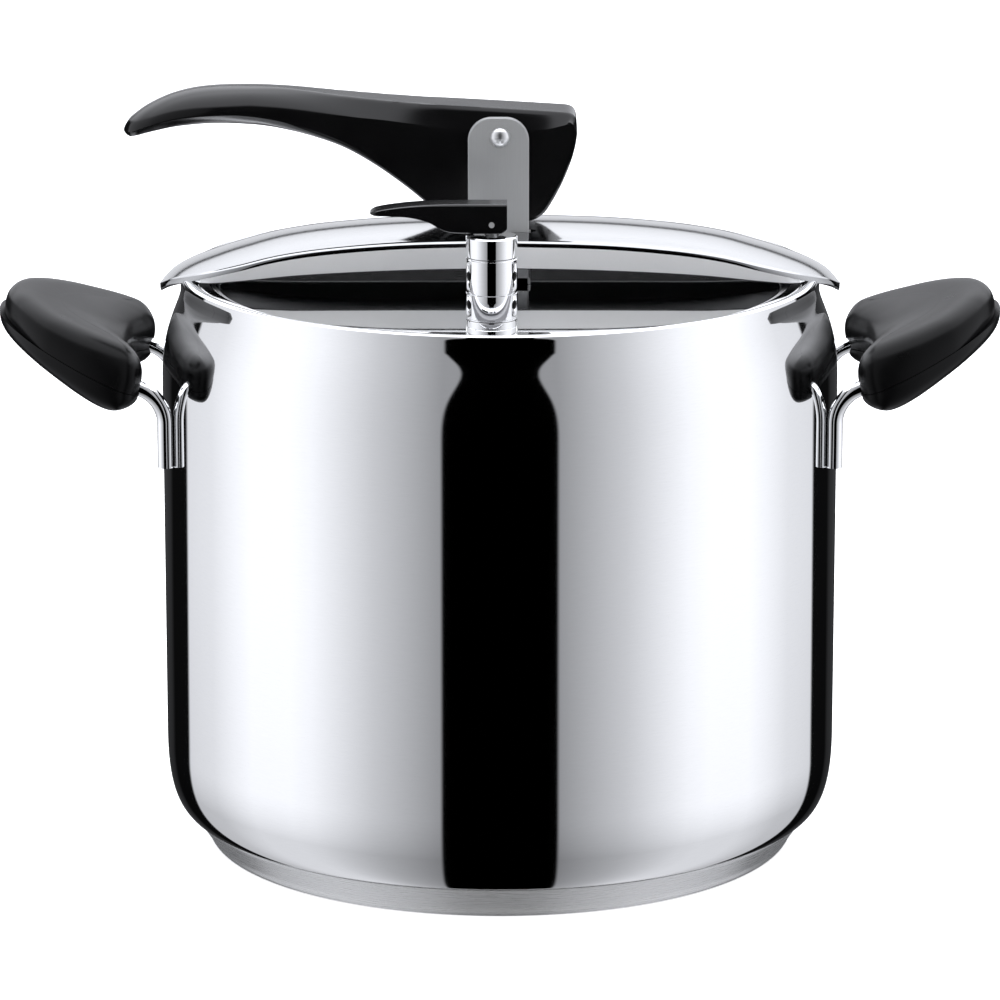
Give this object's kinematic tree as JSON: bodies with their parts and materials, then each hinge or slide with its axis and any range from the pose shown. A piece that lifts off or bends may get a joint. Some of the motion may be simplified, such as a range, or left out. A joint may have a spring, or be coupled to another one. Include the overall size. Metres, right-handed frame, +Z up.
{
  "type": "stovetop pressure cooker",
  "caption": "Tall round steel stovetop pressure cooker with an oval lid under the rim, clamped by a bridge and a cam lever, with an operating valve and a side handle at each end.",
  "frame": {"origin": "centre of the base's underside, where the cooker stands", "axes": "+Z up, +X along the bridge and the side handles with the lever's tip towards -X, -Y towards the operating valve"},
  "size_m": [0.3252, 0.22, 0.2488],
  "materials": {
    "polished_steel": "mirror polished stainless steel",
    "satin_steel": "satin stainless steel",
    "aluminium_core": "plain aluminium, sealed inside the base",
    "black_lever": "semi-gloss black phenolic",
    "black_grip": "satin black phenolic",
    "grey_rubber": "smooth silicone rubber",
    "brass_insert": "turned brass"
  },
  "bodies": {
    "pot_body": {"pot_shell": "polished_steel", "base_core": "aluminium_core", "base_cap": "polished_steel", "left_handle_rod": "polished_steel", "left_grip_upper": "black_grip", "left_grip_lower": "black_grip", "left_grip_screws": "satin_steel", "left_grip_inserts": "brass_insert", "right_handle_rod": "polished_steel", "right_grip_upper": "black_grip", "right_grip_lower": "black_grip", "right_grip_screws": "satin_steel", "right_grip_inserts": "brass_insert"},
    "bridge_body": {"bridge": "polished_steel"},
    "lid_body": {"lid_panel": "polished_steel", "lid_gasket": "grey_rubber", "lever_bracket": "satin_steel", "lever_pin": "polished_steel", "valve_seat": "polished_steel", "valve_seat_nut": "satin_steel", "valve_seat_ring": "grey_rubber", "valve_body": "polished_steel", "valve_cap": "polished_steel", "valve_spring": "satin_steel", "safety_valve_body": "polished_steel", "safety_valve_nut": "satin_steel", "safety_valve_ring": "grey_rubber", "safety_valve_cap": "polished_steel", "safety_valve_spring": "satin_steel"},
    "lever_body": {"main_lever": "black_lever", "lever_bush": "satin_steel"},
    "stem_body": {"valve_piston": "satin_steel", "valve_piston_seal": "grey_rubber", "valve_lever_pin": "satin_steel"},
    "valve_lever_body": {"valve_lever": "black_lever"},
    "safety_pin_body": {"safety_valve_pin": "satin_steel"}
  },
  "joints": [
    {"name": "lid_turn", "type": "hinge", "parent": "pot_body", "child": "bridge_body", "pos_m": [0, 0, 0.1882], "axis": [0, 0, 1], "range_deg": [-90, 90]},
    {"name": "lid_drop", "type": "slide", "parent": "bridge_body", "child": "lid_body", "axis": [0, 0, -1], "range_m": [0, 0.0027]},
    {"name": "lever_swing", "type": "hinge", "parent": "lid_body", "child": "lever_body", "pos_m": [0, 0, 0.2357], "axis": [0, 1, 0], "range_deg": [0, 90]},
    {"name": "valve_stem_lift", "type": "slide", "parent": "lid_body", "child": "stem_body", "axis": [0, 0, 1], "range_m": [0, 0.0014], "deforming": ["valve_spring"]},
    {"name": "valve_lever_flip", "type": "hinge", "parent": "stem_body", "child": "valve_lever_body", "pos_m": [-0.0026, -0.071, 0.2189], "axis": [0, 1, 0], "range_deg": [0, 90]},
    {"name": "safety_pin_rise", "type": "slide", "parent": "lid_body", "child": "safety_pin_body", "axis": [0, 0, 1], "range_m": [0, 0.002], "stiffness_N_per_m": 500, "springref_m": -0.001, "deforming": ["safety_valve_spring"]}
  ],
  "couplings": [
    {"joint": "lid_drop", "follows": "lever_swing", "m_per_rad": 0.0017187},
    {"joint": "valve_stem_lift", "follows": "valve_lever_flip", "m_per_rad": 0.00089118}
  ]
}
